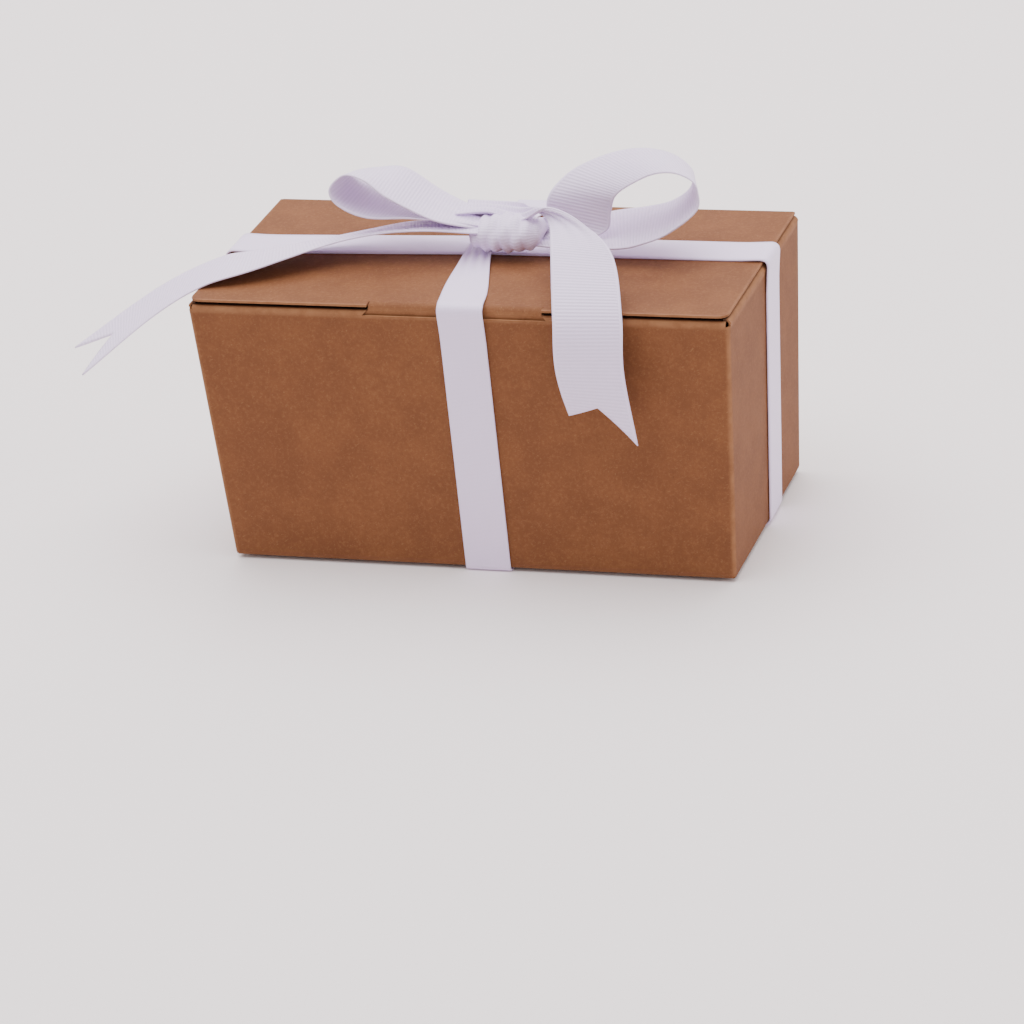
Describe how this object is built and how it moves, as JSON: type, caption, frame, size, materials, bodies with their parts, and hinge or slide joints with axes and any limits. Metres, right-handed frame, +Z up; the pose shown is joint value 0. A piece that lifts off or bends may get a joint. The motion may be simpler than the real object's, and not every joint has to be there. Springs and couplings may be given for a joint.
{
  "type": "chocolate ballotin box",
  "caption": "Tapered kraft board ballotin carton with a tucked lid, wrapped crosswise in narrow ribbon and finished with a grosgrain bow.",
  "frame": {"origin": "below the middle of the carton, on the underside of the ribbon that runs crosswise under the base", "axes": "+X along the carton, -Y towards the tucked front closure, +Z up through the lid and bow"},
  "size_m": [0.1575, 0.0703, 0.0874],
  "materials": {
    "kraft_board": "uncoated brown kraft board, matt, flecked with fibres",
    "satin_ribbon": "smooth white woven ribbon with a soft sheen",
    "grosgrain_ribbon": "white grosgrain, fine cross ribs between plain selvedges"
  },
  "bodies": {
    "root": {"carton": "kraft_board", "wrap_ribbon": "satin_ribbon", "bow_ribbon": "grosgrain_ribbon"}
  },
  "joints": []
}
